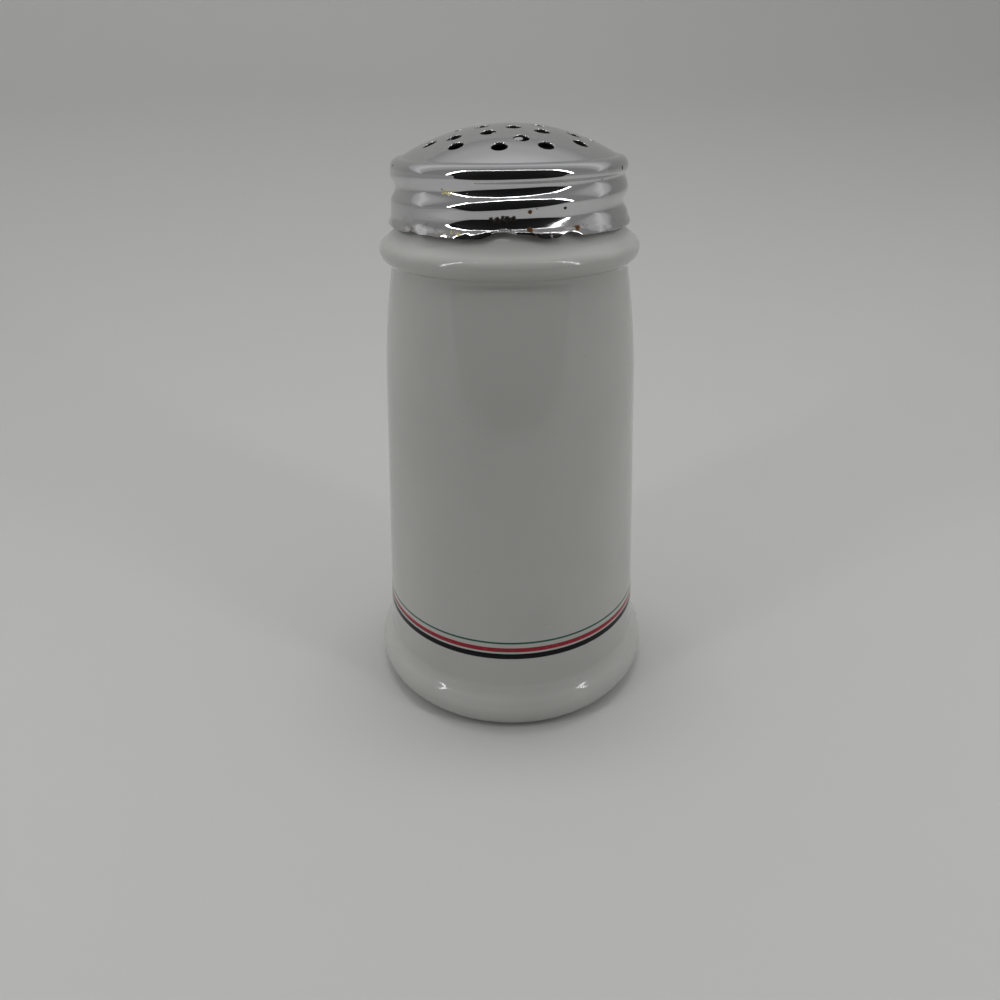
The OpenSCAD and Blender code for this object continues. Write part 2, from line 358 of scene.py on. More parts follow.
class Nodes:
    """The shader nodes of a material or of the world."""

    def __init__(self, owner: Material | bpy.types.World, source: str) -> None:
        """Takes over the nodes of an owner.

        Args:
            owner: the material or world.
            source: the texture coordinate that its patterns read.
        """
        owner.use_nodes = True
        self.tree = owner.node_tree
        self.place = self.tree.nodes.new("ShaderNodeTexCoord").outputs[source]

    def feed(self, socket: Socket, value: Any) -> None:
        """Links a socket, or gives it a plain value.

        Args:
            socket: the input.
            value: another node's output, or a plain value.
        """
        if isinstance(value, Socket):
            self.tree.links.new(value, socket)
        else:
            socket.default_value = value

    def node(self, kind: str, inputs: dict[str | int, Any], **settings: Any) -> bpy.types.Node:
        """Adds a node.

        Args:
            kind: the node's type, without its ShaderNode prefix.
            inputs: values or sockets for its inputs, by name or number.
            settings: its settings by name.

        Returns:
            The node.
        """
        made = self.tree.nodes.new("ShaderNode" + kind)
        for name, value in settings.items():
            setattr(made, name, value)
        for name, value in inputs.items():
            self.feed(made.inputs[name], value)
        return made

    def maths(self, operation: str, *values: Any) -> Socket:
        """Returns the result of an arithmetic operation on values or sockets."""
        return self.node("Math", dict(enumerate(values)), operation=operation).outputs[0]

    def mixed(self, share: Any, first: Any, second: Any) -> Socket:
        """Returns the mix of two colours or sockets, with a share of the second."""
        return self.node("Mix", {0: share, 6: first, 7: second}, data_type="RGBA").outputs[2]


class Paint(Nodes):
    """One material, with the patterns that feed its principled shader."""

    def __init__(self, name: str) -> None:
        """Starts a material.

        Args:
            name: its name.
        """
        self.material = bpy.data.materials.new(name)
        super().__init__(self.material, "Object")
        self.shader = self.tree.nodes["Principled BSDF"]

    def noise(self, scale: float, detail: float = 3.0, roughness: float = 0.5) -> Socket:
        """Returns a noise pattern with a number of features in a metre and of finer layers."""
        return self.node("TexNoise", {"Vector": self.place, "Scale": scale, "Detail": detail,
                                      "Roughness": roughness}).outputs[0]

    def specks(self, scale: float, size: float, share: float) -> Socket:
        """Adds scattered round specks.

        Args:
            scale: number of cells in a metre.
            size: radius of a speck, as a share of a cell.
            share: how much of the surface is left free of them, from 0 to 1.

        Returns:
            A mask, 1 in each speck.
        """
        cells = self.node("TexVoronoi", {"Vector": self.place, "Scale": scale})
        dot = self.fade(cells.outputs["Distance"], size, size * 0.5)
        chance = self.node("SeparateColor", {"Color": cells.outputs["Color"]}).outputs[0]
        kept = self.fade(chance, share, share + 0.02)
        return self.times(dot, kept)

    def fade(self, value: Socket, low: float, high: float,
             bottom: float = 0.0, top: float = 1.0) -> Socket:
        """Adds a soft step.

        Args:
            value: the value to read.
            low: value at which the step starts.
            high: value at which it ends, which may be the lower one.
            bottom: result at the start.
            top: result at the end.

        Returns:
            The result.
        """
        if low > high:
            low, high, bottom, top = high, low, top, bottom
        return self.node("MapRange", {"Value": value, "From Min": low, "From Max": high,
                                      "To Min": bottom, "To Max": top},
                         interpolation_type="SMOOTHSTEP").outputs[0]

    def times(self, first: Any, second: Any) -> Socket:
        """Returns the product of two values."""
        return self.maths("MULTIPLY", first, second)

    def height(self) -> Socket:
        """Returns the height over the table."""
        return self.node("SeparateXYZ", {0: self.place}).outputs["Z"]

    def distance(self, spot: Place) -> Socket:
        """Returns the distance from a spot."""
        return self.node("VectorMath", {0: self.place, 1: spot},
                         operation="DISTANCE").outputs["Value"]

    def near(self, spot: Place, radius: float) -> Socket:
        """Returns a soft round mask about a spot, 1 in its middle and 0 past its radius."""
        return self.fade(self.distance(spot), radius, 0.0)

    def relief(self, height: Socket, depth: float, under: Socket | None = None) -> Socket:
        """Adds a bump.

        Args:
            height: the height pattern, from 0 to 1.
            depth: its depth in metres.
            under: the normal of a coarser bump.

        Returns:
            The bumped normal.
        """
        inputs: dict[str | int, Any] = {"Height": height, "Distance": depth, "Strength": 1.0}
        if under is not None:
            inputs["Normal"] = under
        return self.node("Bump", inputs).outputs[0]

    def set(self, **inputs: Any) -> None:
        """Feeds the shader.

        Args:
            inputs: values or sockets by input name, in lower case with underscores.
        """
        sockets = {socket.name.lower().replace(" ", "_"): socket
                   for socket in reversed(self.shader.inputs[:])}
        for name, value in inputs.items():
            self.feed(sockets[name], value)


@dataclass(frozen=True)
class WhiteGlaze:
    """Off-white glaze over the slip-cast body, bare on the foot ring."""

    colour: Colour = (0.485, 0.485, 0.466, 1.0)
    pooled: Colour = (0.45, 0.452, 0.432, 1.0)
    speck: Colour = (0.24, 0.17, 0.11, 1.0)
    clay: Colour = (0.62, 0.55, 0.44, 1.0)
    gloss_low: float = 0.06
    gloss_high: float = 0.13
    clay_roughness: float = 0.85
    speck_depth: float = 0.75
    wave: float = 0.000072
    peel: float = 0.000012
    pit_depth: float = 0.00004
    bare_height: float = 0.0009

    def material(self) -> Material:
        """Builds the glaze.

        Returns:
            The material.
        """
        paint = Paint("white_glaze")
        cloud = paint.noise(22.0, detail=4.0)
        body = paint.mixed(paint.fade(cloud, 0.4, 0.7), self.colour, self.pooled)
        dots = paint.times(paint.specks(330.0, size=0.055, share=0.86), self.speck_depth)
        dotted = paint.mixed(dots, body, self.speck)
        bare = paint.fade(paint.height(), self.bare_height, self.bare_height * 0.4)
        grit = paint.noise(1400.0, detail=5.0, roughness=0.7)
        clay = paint.mixed(paint.fade(grit, 0.35, 0.7), self.clay, darkened(self.clay, 0.8))
        gloss = paint.fade(paint.noise(60.0), 0.3, 0.7, self.gloss_low, self.gloss_high)
        waves = paint.relief(paint.noise(90.0, detail=2.0), self.wave)
        skin = paint.relief(paint.noise(700.0, detail=2.0), self.peel, waves)
        pits = paint.maths("SUBTRACT", 1.0, paint.specks(420.0, size=0.06, share=0.9))
        paint.set(
            base_color=paint.mixed(bare, dotted, clay),
            roughness=paint.maths("MAXIMUM", gloss, paint.times(bare, self.clay_roughness)),
            normal=paint.relief(pits, self.pit_depth, skin),
            ior=GLASS_IOR,
        )
        return paint.material


@dataclass(frozen=True)
class Enamel:
    """A coloured line, fired into the glaze."""

    name: str
    colour: Colour
    thin: Colour
    gloss: float = 0.12
    shine: float = 0.25
    grain: float = 0.000004

    def material(self) -> Material:
        """Builds the enamel, a little thin in places.

        Returns:
            The material.
        """
        paint = Paint(self.name)
        worn = paint.fade(paint.noise(900.0, detail=4.0, roughness=0.6), 0.45, 0.85)
        paint.set(
            base_color=paint.mixed(paint.times(worn, 0.5), self.colour, self.thin),
            roughness=paint.fade(paint.noise(120.0), 0.3, 0.7, self.gloss, self.gloss + 0.08),
            normal=paint.relief(paint.noise(2500.0, detail=2.0), self.grain),
            ior=GLASS_IOR, specular_ior_level=self.shine,
        )
        return paint.material


@dataclass(frozen=True)
class Grime:
    """One stained spot on the cap."""

    angle: float
    height: float
    radius: float
    reach: float
    colour: Colour
    scatter: float = 1.0

    def place(self) -> Place:
        """Returns the middle of the spot."""
        return polar(self.radius, self.angle, self.height)


@dataclass(frozen=True)
class ChromedSheet:
    """Bright chrome plate with fine ripples, pits, and grime towards the raw edge."""

    colour: Colour = (0.61, 0.61, 0.62, 1.0)
    pit: Colour = (0.05, 0.04, 0.035, 1.0)
    rust: Colour = (0.16, 0.07, 0.03, 1.0)
    residue: Colour = (0.60, 0.52, 0.20, 1.0)
    gloss_low: float = 0.025
    gloss_dull: float = 0.6
    ripple: float = 0.00001
    pit_depth: float = 0.00003
    crust_h: float = 0.004
    inner: Colour = (0.16, 0.155, 0.145, 1.0)
    inner_low_z: float = 0.1539
    inner_high_z: float = 0.1542

    def spots(self) -> tuple[Grime, ...]:
        """Stains that show at the front, under the shoulder and along the raw edge.

        Returns:
            The stains, in the order in which they lie over each other.
        """
        gum, pit, rust = self.residue, self.pit, self.rust
        rows = (
            (-121.8, 0.1480, 0.0290, 0.0012, gum, 3.0), (-119.4, 0.1477, 0.0290, 0.0014, gum, 3.4),
            (-117.1, 0.1480, 0.0290, 0.0012, gum, 3.0), (-98.6, 0.1428, 0.0294, 0.0011, pit, 2.2),
            (-96.1, 0.1425, 0.0294, 0.0016, pit, 1.8), (-93.9, 0.1429, 0.0294, 0.0012, pit, 2.2),
            (-91.7, 0.1426, 0.0294, 0.0017, pit, 1.8), (-88.9, 0.1428, 0.0294, 0.0013, pit, 2.4),
            (-82.0, 0.1441, 0.0298, 0.0009, rust), (-66.0, 0.1446, 0.0298, 0.0008, pit, 1.5),
            (-96.0, 0.1541, 0.0287, 0.0006, pit), (-86.5, 0.1541, 0.0287, 0.0006, pit),
            (-61.0, 0.1546, 0.0277, 0.0006, pit), (-161.0, 0.1525, 0.0297, 0.0007, pit),
            (-27.0, 0.1515, 0.0299, 0.0009, pit), (-119.2, 0.1393, 0.0304, 0.0011, gum, 2.6),
            (-116.4, 0.1395, 0.0304, 0.0013, gum, 3.0), (-113.2, 0.1393, 0.0304, 0.0012, gum, 2.6),
            (-82.0, 0.1404, 0.0302, 0.0013, rust, 1.8), (-60.0, 0.1402, 0.0303, 0.0015, rust, 1.8),
        )
        return tuple(Grime(*row) for row in rows)

    def material(self, cap: "Cap") -> Material:
        """Builds the plate, bright outside, and darker and dull on the inside of the dome.

        Args:
            cap: the cap that it covers.

        Returns:
            The material.
        """
        paint = Paint("chromed_sheet")
        within = paint.times(
            paint.fade(paint.distance((0.0, 0.0, cap.dome.mid[1])),
                       cap.dome.radius - cap.sheet_t * 0.5, cap.dome.radius - cap.sheet_t * 0.8),
            paint.fade(paint.height(), self.inner_low_z, self.inner_high_z))
        colour: Any = self.colour
        dull: Any = paint.times(paint.fade(paint.noise(55.0, detail=4.0), 0.45, 0.75), 0.35)
        rough = paint.noise(1300.0, detail=4.0, roughness=0.65)
        for spot in self.spots():
            broken = paint.times(paint.maths("SUBTRACT", rough, 0.62), spot.scatter)
            edge = paint.maths("ADD", paint.near(spot.place(), spot.reach), broken)
            stain = paint.fade(edge, 0.2, 0.45)
            colour = paint.mixed(stain, colour, spot.colour)
            dull = paint.maths("MAXIMUM", dull, paint.times(stain, 0.8))
        pits = paint.specks(520.0, size=0.11, share=0.93)
        low = paint.fade(paint.height(), cap.hem_z + self.crust_h, cap.hem_z)
        flakes = paint.noise(620.0, detail=5.0, roughness=0.7)
        crust = paint.times(low, paint.fade(flakes, 0.52, 0.7))
        colour = paint.mixed(pits, colour, self.pit)
        colour = paint.mixed(paint.times(crust, 0.8), colour, self.rust)
        dull = paint.maths("MAXIMUM", dull, paint.times(crust, 0.9))
        colour = paint.mixed(within, colour, self.inner)
        dull = paint.maths("MAXIMUM", dull, within)
        ripples = paint.relief(paint.noise(260.0, detail=2.0), self.ripple)
        holes = paint.maths("SUBTRACT", 1.0, pits)
        paint.set(
            base_color=colour, metallic=1.0,
            roughness=paint.fade(dull, 0.0, 1.0, self.gloss_low, self.gloss_dull),
            normal=paint.relief(holes, self.pit_depth, ripples),
        )
        return paint.material


@dataclass(frozen=True)
class WasherRubber:
    """Pale matt rubber, marked by the rim that it seals."""

    colour: Colour = (0.52, 0.49, 0.42, 1.0)
    marked: Colour = (0.38, 0.35, 0.29, 1.0)
    grain: float = 0.00003

    def material(self) -> Material:
        """Builds the rubber.

        Returns:
            The material.
        """
        paint = Paint("washer_rubber")
        marks = paint.fade(paint.noise(240.0, detail=5.0, roughness=0.65), 0.4, 0.7)
        paint.set(
            base_color=paint.mixed(marks, self.colour, self.marked),
            roughness=paint.fade(paint.noise(800.0), 0.3, 0.7, 0.6, 0.8),
            normal=paint.relief(paint.noise(1800.0, detail=4.0), self.grain),
        )
        return paint.material


@dataclass(frozen=True)
class Line:
    """One enamel line round the foot of the wall. Lengths are in metres."""

    name: str
    low: float
    width: float
    finish: Enamel

    def replaced(self) -> str:
        """Returns the name of the plain ring that the line stands for."""
        return self.name.replace("line", "band")


BLACK = Enamel("black_enamel", (0.004, 0.004, 0.006, 1.0), (0.02, 0.02, 0.024, 1.0), shine=0.12)
RED = Enamel("red_enamel", (0.30, 0.008, 0.022, 1.0), (0.42, 0.08, 0.09, 1.0))
GREEN = Enamel("green_enamel", (0.012, 0.09, 0.055, 1.0), (0.07, 0.18, 0.13, 1.0))


@dataclass
class JarBody:
    """The ceramic jar, with its neck and moulded thread. Lengths are in metres."""

    base_r: float = 0.04365
    base_round_r: float = 0.0068
    base_sweep_r: float = 0.007
    base_proud: float = 0.00275
    neck_r: float = 0.0273
    neck_h: float = 0.0196
    neck_t: float = 0.0038
    collar_proud: float = 0.0067
    collar_round_r: float = 0.003
    collar_hollow_r: float = 0.0016
    cove_r: float = 0.012
    shoulder_proud: float = 0.00105
    shoulder_z: float = 0.098
    shoulder_h: float = 0.0343
    shoulder_curve_r: float = 0.220
    wall_t: float = 0.004
    floor_z: float = 0.006
    foot_ring_w: float = 0.005
    foot_recess_h: float = 0.002
    foot_soft_r: float = 0.0006
    rim_round_r: float = 0.001
    inner_shoulder_drop: float = 0.0033
    inner_shoulder_r: float = 0.006
    line_depth: float = 0.00025
    line_swell: float = 0.00002
    wall_rows_mm: range = range(36, 98, 8)
    turn_steps: int = 224
    lines: tuple[Line, ...] = (
        Line("black_line", 0.0247, 0.0018, BLACK), Line("red_line", 0.0271, 0.00142, RED),
        Line("green_line", 0.02985, 0.00062, GREEN))

    def __post_init__(self) -> None:
        """Works out the circles that the outline rests on."""
        self.collar_z = self.shoulder_z + self.shoulder_h
        self.rim_z = self.collar_z + self.neck_h
        collar_r = self.neck_r + self.collar_proud
        self.shoulder_r = collar_r + self.shoulder_proud
        self.wall_low_r = self.base_r - self.base_proud
        self.lean = math.degrees(math.atan2(self.wall_low_r - self.shoulder_r, self.shoulder_z))
        self.base = Circle((self.base_r - self.base_round_r, self.base_round_r), self.base_round_r)
        self.sweep = self.base.blend_to_line((self.wall_low_r, 0.0), self.lean, self.base_sweep_r)
        reach, turn = self.shoulder_curve_r, math.radians(self.lean)
        self.shoulder = Circle((self.shoulder_r - reach * math.cos(turn),
                                self.shoulder_z - reach * math.sin(turn)), reach)
        self.collar = Circle((collar_r - self.collar_round_r, self.collar_z), self.collar_round_r)
        self.hollow = self.shoulder.blend_to(self.collar, self.collar_hollow_r)
        self.cove = self.collar.blend_to_line((self.neck_r, 0.0), 0.0, self.cove_r)

    def wall_x(self, height: float) -> float:
        """Returns the radius of the leaning wall at a height."""
        return self.wall_low_r - height * math.tan(math.radians(self.lean))

    def seat(self, line: Line) -> list[Point]:
        """Corners of an enamel line's seat in the wall.

        Args:
            line: the line.

        Returns:
            The four corners, upwards.
        """
        low, high, deep = line.low, line.low + line.width, self.line_depth
        return [(self.wall_x(low), low), (self.wall_x(low) - deep, low),
                (self.wall_x(high) - deep, high), (self.wall_x(high), high)]

    def outside(self) -> list[Point]:
        """Outline of the jar from the foot ring up to the rim.

        Returns:
            Its points, upwards.
        """
        wall = [corner for line in self.lines for corner in self.seat(line)]
        wall += [(self.wall_x(row * MM), row * MM) for row in self.wall_rows_mm]
        return [
            *self.base.arc(-90.0, self.base.towards(self.sweep), 2.5),
            *self.sweep.arc(self.sweep.towards(self.base), 180.0 + self.lean, 2.5)[1:],
            *wall,
            *self.shoulder.arc(self.lean, self.shoulder.towards(self.hollow), 0.5),
            *self.hollow.arc(self.hollow.towards(self.shoulder),
                             self.hollow.towards(self.collar), 8.0)[1:],
            *self.collar.arc(self.collar.towards(self.hollow, low=True),
                             self.collar.towards(self.cove), 5.0)[1:],
            *self.cove.arc(self.cove.towards(self.collar), 180.0)[1:],
            *Circle((self.neck_r - self.rim_round_r, self.rim_z - self.rim_round_r),
                    self.rim_round_r).arc(0.0, 90.0, 10.0),
        ]

    def inside(self) -> list[Point]:
        """Outline of the cavity from the rim down to the middle of its floor.

        Returns:
            Its points, downwards.
        """
        mouth_r = self.neck_r - self.neck_t
        inner = self.shoulder.grown(-self.wall_t)
        turn = math.degrees(math.asin(
            (self.collar_z - self.inner_shoulder_drop - inner.mid[1]) / inner.radius))
        reach = inner.radius - self.inner_shoulder_r
        bend = Circle((inner.mid[0] + reach * math.cos(math.radians(turn)),
                       inner.mid[1] + reach * math.sin(math.radians(turn))), self.inner_shoulder_r)
        throat = bend.blend_to_line((mouth_r, 0.0), 0.0, self.inner_shoulder_r)
        base = self.base.grown(-self.wall_t)
        floor_a = math.degrees(math.asin((self.floor_z - base.mid[1]) / base.radius))
        rounding = Circle((mouth_r + self.rim_round_r, self.rim_z - self.rim_round_r),
                          self.rim_round_r)
        return [
            *rounding.arc(90.0, 180.0, 10.0),
            *throat.arc(180.0, throat.towards(bend), 6.0),
            *bend.arc(bend.towards(throat), turn, 6.0)[1:],
            *inner.arc(turn, self.lean, 0.8)[1:],
            *self.sweep.grown(self.wall_t).arc(180.0 + self.lean,
                                               self.sweep.towards(self.base), 4.0),
            *base.arc(base.towards(self.sweep), floor_a, 6.0)[1:],
            *((base.mid[0] * share, self.floor_z) for share in (0.66, 0.33, 0.0)),
        ]

    def underside(self) -> list[Point]:
        """Outline of the hollow in the foot, from the middle out to the ring.

        Returns:
            Its points.
        """
        ring_r = self.base.mid[0] - self.foot_ring_w
        small = self.foot_soft_r
        return [
            *((ring_r * share, self.foot_recess_h) for share in (0.0, 0.4, 0.8)),
            *Circle((ring_r - small, self.foot_recess_h - small), small).arc(90.0, 0.0, 15.0),
            *Circle((ring_r + small, small), small).arc(180.0, 270.0, 15.0),
        ]

    def build(self) -> Piece:
        """Turns the jar.

        Returns:
            The jar, ready to dress.
        """
        outline = [*self.underside(), *self.outside(), *self.inside()]
        jar = Bench.turned("glazed_jar", outline, self.turn_steps)
        Bench.smooth(jar)
        return jar

    def build_line(self, line: Line) -> Piece:
        """Turns one enamel line, a film that fills its seat and swells a hair.

        Args:
            line: the line.

        Returns:
            The line, ready to dress.
        """
        low, deep_low, deep_high, high = self.seat(line)
        middle = ((low[0] + high[0]) / 2.0 + self.line_swell, (low[1] + high[1]) / 2.0)
        outline = [low, middle, high, deep_high, deep_low]
        ring = Bench.turned(line.name, outline, self.turn_steps, closed=True)
        Bench.smooth(ring)
        return ring

    def make(self, glaze: Material) -> None:
        """Builds and dresses the jar and its lines.

        Args:
            glaze: the jar's glaze.
        """
        dress(self.build(), glaze, "white_glaze", "jar", "jar")
        for line in self.lines:
            dress(self.build_line(line), line.finish.material(), line.finish.name, "jar",
                  line.replaced())


@dataclass
class Thread:
    """The screw thread that the neck and the cap share. Lengths are in metres."""

    pitch: float = 0.00635
    ridge_h: float = 0.0015
    ridge_root_w: float = 0.003
    ridge_shoulder_w: float = 0.0019
    ridge_shoulder_share: float = 0.72
    ridge_crest_w: float = 0.0009
    ridge_soft: float = 0.0001
    ridge_thin_share: float = 0.12
    ridge_drop: float = 0.00265
    ridge_turns: float = 1.15
    ridge_fade_a: float = 28.0
    ridge_end_a: float = 160.0
    seat: float = 0.0027
    groove_h: float = 0.00117
    groove_turns: float = 1.68
    groove_start_a: float = -175.0
    groove_low_fade_a: float = 140.0
    groove_top_fade_a: float = 130.0
    rim_z: float = 0.1519
    neck_r: float = 0.0273
    root_in: float = 0.0006
    turn_steps: int = 96

    def ridge_z(self, degrees: float) -> float:
        """Returns the height of the ridge's middle at an angle along the thread."""
        return self.rim_z - self.ridge_drop + self.pitch * (degrees - self.ridge_end_a) / FULL_TURN

    def groove_share(self, degrees: float) -> float:
        """Returns the share of its full depth that the groove has at an angle along it."""
        end = self.groove_start_a + FULL_TURN * self.groove_turns
        return (soft((degrees - self.groove_start_a) / self.groove_low_fade_a)
                * soft((end - degrees) / self.groove_top_fade_a))

    def groove_at(self, degrees: float, height: float) -> float:
        """Share of the groove's depth at a place on the skirt.

        Args:
            degrees: angle round the axis, between -180 and 180.
            height: height of the place.

        Returns:
            The share, from 0 to 1.
        """
        depth = 0.0
        for turn in (-FULL_TURN, 0.0, FULL_TURN):
            along = degrees + turn
            rise = height - self.ridge_z(along) + self.seat
            if abs(rise) < self.pitch / 2.0:
                wave = (1.0 + math.cos(FULL_CIRCLE * rise / self.pitch)) / 2.0
                depth += wave * self.groove_share(along)
        return depth

    def section(self) -> list[Point]:
        """Corners of the ridge's section at height 0, from its root round its crest.

        Returns:
            Their radii and heights.
        """
        share, small = self.ridge_shoulder_share, self.ridge_soft
        crest = self.neck_r + self.ridge_h
        root, top = self.ridge_root_w / 2.0, self.ridge_crest_w / 2.0
        upper = [(self.neck_r - self.root_in, root), (self.neck_r - small, root),
                 (self.neck_r + self.ridge_h * share, self.ridge_shoulder_w / 2.0 * share),
                 (crest - small, top), (crest, top * 0.5)]
        return [*upper, *((r, -z) for r, z in reversed(upper))]

    def build_ridge(self) -> Piece:
        """Sweeps the moulded ridge up the neck, running out at both ends.

        Returns:
            The ridge, ready to dress.
        """
        steps = round(self.turn_steps * self.ridge_turns)
        start = self.ridge_end_a - FULL_TURN * self.ridge_turns
        turn = FULL_TURN * self.ridge_turns / steps
        thin = self.ridge_thin_share

        def share(index: int) -> float:
            """Size of the section after a number of steps.

            Args:
                index: the number of steps.

            Returns:
                The size, as a share of the full one.
            """
            along = turn * index
            rest = FULL_TURN * self.ridge_turns - along
            return thin + (1.0 - thin) * (soft(along / self.ridge_fade_a)
                                          * soft(rest / self.ridge_fade_a))

        def root(index: int) -> Place:
            """Returns the middle of the section's root after a number of steps."""
            degrees = start + turn * index
            return polar(self.neck_r - self.root_in, degrees, self.ridge_z(degrees))

        ridge = Bench.line("neck_thread", self.section(), closed=True)
        Bench.edit(ridge)
        bpy.ops.mesh.edge_face_add()
        Bench.swing(start)
        Bench.move((0.0, 0.0, self.ridge_z(start)))
        bpy.ops.transform.resize(value=(share(0),) * 3, center_override=root(0))
        for index in range(1, steps + 1):
            bpy.ops.mesh.extrude_region_move()
            Bench.swing(turn)
            Bench.move((0.0, 0.0, self.pitch * turn / FULL_TURN))
            grow = share(index) / share(index - 1)
            bpy.ops.transform.resize(value=(grow,) * 3, center_override=root(index))
        Bench.close_up()
        Bench.smooth(ridge, degrees=60.0)
        return ridge

    def make(self, glaze: Material) -> None:
        """Builds the ridge and dresses it with the jar's glaze."""
        dress(self.build_ridge(), glaze, "white_glaze", "jar")


@dataclass(frozen=True)
class Dent:
    """A dent in the raw edge. Angles are in degrees and lengths in metres."""

    angle: float
    spread: float
    inward: float
    lift: float


@dataclass
class Cap:
    """The pressed and chromed screw cap. Lengths are in metres."""

    thread: Thread = field(default_factory=Thread)
    sheet_t: float = 0.00055
    bead_r: float = 0.02975
    bead_round_r: float = 0.0024
    bead_z: float = 0.15135
    hem_z: float = 0.1385
    join_drop: float = 0.0003
    join_fade_h: float = 0.0014
    skirt_flare: float = 0.0007
    crease_in: float = 0.0003
    crease_round_r: float = 0.0008
    dome_h: float = 0.00715
    hole_r: float = 0.00185
    hole_lip_r: float = 0.00028
    hole_rings: tuple[tuple[float, int, float], ...] = (
        (0.00805, 6, -83.0), (0.01277, 6, -53.0), (0.01665, 6, -81.0), (0.02067, 12, -96.8))
    hole_sink: float = 0.00003
    punch_low: float = -0.0016
    punch_high: float = 0.001
    punch_slack: float = 0.0003
    punch_draft: float = 0.00004
    punch_steps: int = 40
    row: float = 0.0002
    turn_steps: int = 288
    hem_reach: float = 0.0022
    hem_flare: float = 0.0006
    hem_wrinkle: float = 0.0006
    hem_wrinkle_size: float = 0.0035
    hem_ragged: float = 0.0005
    hem_ragged_size: float = 0.004
    dents: tuple[Dent, ...] = (
        Dent(-94.0, 11.0, 0.0010, 0.0016), Dent(-84.0, 9.0, 0.0004, 0.0009),
        Dent(-64.0, 7.0, 0.0005, 0.0010), Dent(-139.0, 6.0, 0.0003, 0.0004),
        Dent(70.0, 8.0, 0.0004, 0.0005))

    def __post_init__(self) -> None:
        """Works out the circles that the outline rests on."""
        self.bead = Circle((self.bead_r - self.bead_round_r, self.bead_z), self.bead_round_r)
        rise = math.sqrt(self.bead_round_r ** 2 - self.crease_in ** 2)
        self.crease = (self.bead.mid[0] - self.crease_in, self.bead_z + rise)
        radius = (self.crease[0] ** 2 + self.dome_h ** 2) / (2.0 * self.dome_h)
        self.dome = Circle((0.0, self.crease[1] + self.dome_h - radius), radius)
        self.bend = self.bead.blend_to(self.dome, self.crease_round_r)
        self.join_z = self.bead_z - self.join_drop

    def outline(self) -> list[Point]:
        """Outer outline of the sheet, from the raw edge up to the middle of the dome.

        Returns:
            Its points.
        """
        rows = round((self.join_z - self.hem_z) / self.row)
        flare = self.skirt_flare
        skirt = [(self.bead_r + flare * (1.0 - i / rows),
                  self.hem_z + (self.join_z - self.hem_z) * i / rows) for i in range(rows)]
        return [
            *skirt, (self.bead_r, self.join_z),
            *self.bead.arc(0.0, self.bead.towards(self.bend), 4.0),
            *self.bend.arc(self.bend.towards(self.bead), self.bend.towards(self.dome), 4.0)[1:],
            *self.dome.arc(self.dome.towards(self.bend), 90.0, 0.55)[1:],
        ]

    def groove_weight(self, place: Vector) -> float:
        """Weight of the rolled groove at a place on the sheet.

        Args:
            place: the place.

        Returns:
            The weight, from 0 to 1.
        """
        if place.z > self.join_z:
            return 0.0
        degrees = math.degrees(math.atan2(place.y, place.x))
        fade = soft((self.join_z - place.z) / self.join_fade_h)
        return self.thread.groove_at(degrees, place.z) * fade

    def hem_weight(self, place: Vector) -> float:
        """Returns the weight of the wrinkled raw edge, which fades upwards."""
        return soft(1.0 - (place.z - self.hem_z) / self.hem_reach)

    def dent_weight(self, place: Vector, dent: Dent) -> float:
        """Weight of a dent in the raw edge.

        Args:
            place: the place.
            dent: the dent.

        Returns:
            The weight, from 0 to 1.
        """
        gap = math.degrees(math.atan2(place.y, place.x)) - dent.angle
        gap = (gap + HALF_TURN) % FULL_TURN - HALF_TURN
        return soft(1.0 - abs(gap) / dent.spread) * self.hem_weight(place)

    @staticmethod
    def wrinkle(name: str, size: float) -> bpy.types.Texture:
        """Makes a procedural cloud texture for wrinkles.

        Args:
            name: the texture's name.
            size: size of its features in metres.

        Returns:
            The texture.
        """
        texture = bpy.data.textures.new(name, "CLOUDS")
        texture.noise_scale, texture.noise_depth = size, 2
        return texture

    def cut_tool(self) -> Piece:
        """Turns one punch: a pin with a flared shoulder that leaves a rounded lip.

        Returns:
            The punch, at the origin with its shoulder in the plane of the sheet.
        """
        lip = Circle((self.hole_r + self.hole_lip_r, -self.hole_lip_r), self.hole_lip_r)
        outline = [
            (0.0, self.punch_low), (self.hole_r + self.punch_slack, self.punch_low),
            (self.hole_r + self.punch_draft, -self.sheet_t * 0.95),
            *lip.arc(180.0, 90.0, 18.0),
            (self.hole_r + self.hole_lip_r + self.punch_slack, self.punch_high * 0.1),
            (self.hole_r + self.punch_slack * 2.0, self.punch_high), (0.0, self.punch_high),
        ]
        return Bench.turned("punch", outline, self.punch_steps)

    def punch_holes(self, sheet: Piece) -> None:
        """Punches the sprinkling holes square to the dome.

        Args:
            sheet: the sheet, already as thick as it is.
        """
        pin = self.cut_tool()
        places = [(0.0, 0.0)] + [
            (radius, angle + FULL_TURN * i / count)
            for radius, count, angle in self.hole_rings for i in range(count)]
        pins = []
        for reach, angle in places:
            made = Bench.copied(pin)
            tilt = math.asin(reach / self.dome.radius)
            height = self.dome.mid[1] + (self.dome.radius - self.hole_sink) * math.cos(tilt)
            made.matrix_world = (Matrix.Translation(polar(reach, angle, height))
                                 @ Matrix.Rotation(math.radians(angle), 4, "Z")
                                 @ Matrix.Rotation(tilt, 4, "Y"))
            pins.append(Bench.settle(made))
        bpy.data.objects.remove(pin)
        Bench.pick(*pins)
        bpy.ops.object.join()
        Bench.apply(sheet, "BOOLEAN", object=pins[0], operation="DIFFERENCE", solver="MANIFOLD")
        bpy.data.objects.remove(pins[0])

